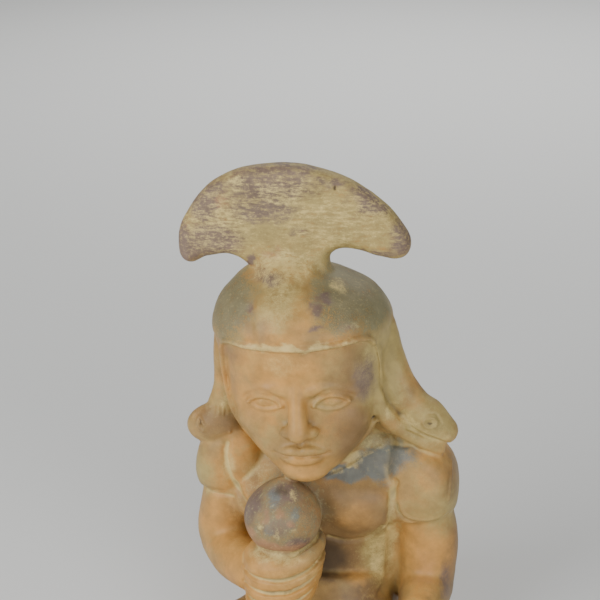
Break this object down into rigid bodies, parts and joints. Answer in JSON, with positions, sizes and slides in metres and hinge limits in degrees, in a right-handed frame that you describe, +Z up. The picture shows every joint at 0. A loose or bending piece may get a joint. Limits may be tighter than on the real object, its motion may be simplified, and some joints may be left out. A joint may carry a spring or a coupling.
{
  "type": "ceramic figurine",
  "caption": "Seated ceramic warrior holding a round-headed mace, in a close helmet with a crescent crest and serpent-headed side flaps, on a low base.",
  "frame": {"origin": "centre of the bounding box's underside, on the ground under the base", "axes": "+Z up through the crest; the figure looks along -Y; +X is to the figure's left"},
  "size_m": [0.1726, 0.1325, 0.3105],
  "materials": {
    "fired_clay": "burnished buff and tan slip, satin, with purple-brown and grey firing clouds"
  },
  "bodies": {
    "root": {"figurine": "fired_clay"}
  },
  "joints": []
}
